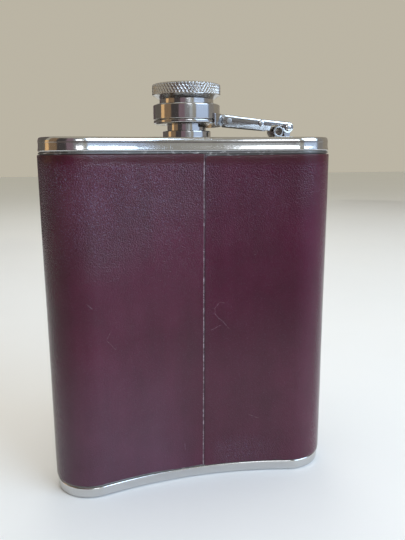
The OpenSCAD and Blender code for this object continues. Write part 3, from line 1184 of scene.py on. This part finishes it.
def curved_card(name, start, end, tone, low, high, distance=1.25, steps=6):
    """An upright card spanning an angle round the flask."""
    verts = []
    for i in range(steps + 1):
        x, y, _ = polar(start + (end - start) * i / steps, distance, 0)
        verts += [(x, y, low), (x, y, high)]
    faces = [(2 * i, 2 * i + 2, 2 * i + 3, 2 * i + 1) for i in range(steps)]
    return glow_card(name, verts, faces, tone)


def table_end():
    """Stands for the room beyond the table's near edge; seen in reflections only."""
    near, far, half = -0.27, -1.3, 1.3
    verts = [(-half, far, 0.001), (half, far, 0.001), (half, near, 0.001), (-half, near, 0.001)]
    glow_card("table_end", verts, [(0, 1, 2, 3)], (0.11, 0.085, 0.075)).visible_diffuse = False


def area(name, centre, size, power, colour):
    """A soft light aimed at the middle of the flask."""
    target = (0, 0, 0.07)
    light = bpy.data.lights.new(name, "AREA")
    light.shape = "RECTANGLE"
    light.size, light.size_y = size
    light.energy = power
    light.color = colour
    obj = link(name, light)
    turn = (Vector(target) - Vector(centre)).to_track_quat("-Z", "Y").to_matrix().to_4x4()
    obj.matrix_world = Matrix.Translation(centre) @ turn
    obj.visible_camera = False
    return obj


make_stage()
world = bpy.data.worlds.new("studio")
world.use_nodes = True
background = world.node_tree.nodes["Background"]
background.inputs["Color"].default_value = (0.80, 0.74, 0.60, 1)
background.inputs["Strength"].default_value = 0.62
scene.world = world

area("window_low", polar(43.5, 0.9, 0.165), (0.76, 0.27), 0.44, (0.56, 0.73, 1.0))
area("window_high", polar(43.5, 0.9, 0.55), (0.76, 0.48), 7.5, (0.62, 0.79, 1.0))
area("lamp", polar(-2, 0.9, 0.40), (0.25, 0.22), 0.8, (0.88, 0.93, 1.0))
area("back_fill", polar(172, 0.75, 0.8), (0.5, 0.35), 1.6, (1.0, 0.96, 0.9)).visible_glossy = False
area("overhead", (0.0, -0.05, 0.9), (0.8, 0.6), 3.5, (1.0, 0.98, 0.95)).visible_glossy = False

# the room on the camera's side: one card for each tone, from left to right
for label, start, end, tone in (
        ("left_wall", -150, -108, (0.14, 0.12, 0.10)), ("warm_lamp", -108, -93, (1.0, 0.62, 0.28)),
        ("warm_shade", -93, -66, (0.28, 0.18, 0.10)), ("dark_room", -66, -38, (0.06, 0.05, 0.048)),
        ("plum", -38, -18, (0.24, 0.16, 0.19)), ("grey", -18, -2, (0.28, 0.28, 0.29)),
        ("door", -2, 8, (0.50, 0.54, 0.56)), ("frame", 8, 20, (0.40, 0.39, 0.34)),
        ("under_window", 20, 70, (0.26, 0.30, 0.38)), ("right_wall", 70, 95, (0.30, 0.28, 0.26)),
        ("right_far", 95, 150, (0.34, 0.30, 0.24))):
    card = curved_card(label, start, end, tone, -0.02, 0.45 if label == "warm_lamp" else 1.2)
    card.visible_diffuse = label not in ("warm_lamp", "door")
table_end()
# a dark corner beyond the left end; seen only in glancing reflections
curved_card("side_shade", -148, -172, (0.10, 0.07, 0.07), 0.0, 0.7, 0.6, 3).visible_diffuse = False

# the picture's viewpoint: place in metres, angles in radians, and the lens from its length in
# pixels on a picture 540 pixels high
CAMERA_POS = (-0.03974, -0.18257, 0.11073)
PITCH, BANK, YAW = 0.204, -0.006, 0.238
SENSOR = 36
FOCAL = 556.6 / 540 * SENSOR

camera_data = bpy.data.cameras.new("camera")
camera_data.lens = FOCAL
camera_data.sensor_width = SENSOR
camera_data.sensor_fit = "AUTO"
camera_data.clip_start = 0.005
camera = link("camera", camera_data)
forward = Vector((math.sin(YAW) * math.cos(PITCH), math.cos(YAW) * math.cos(PITCH),
                  -math.sin(PITCH)))
turn = forward.to_track_quat("-Z", "Y").to_matrix().to_4x4()
camera.matrix_world = Matrix.Translation(CAMERA_POS) @ turn @ Matrix.Rotation(BANK, 4, "Z")
scene.camera = camera
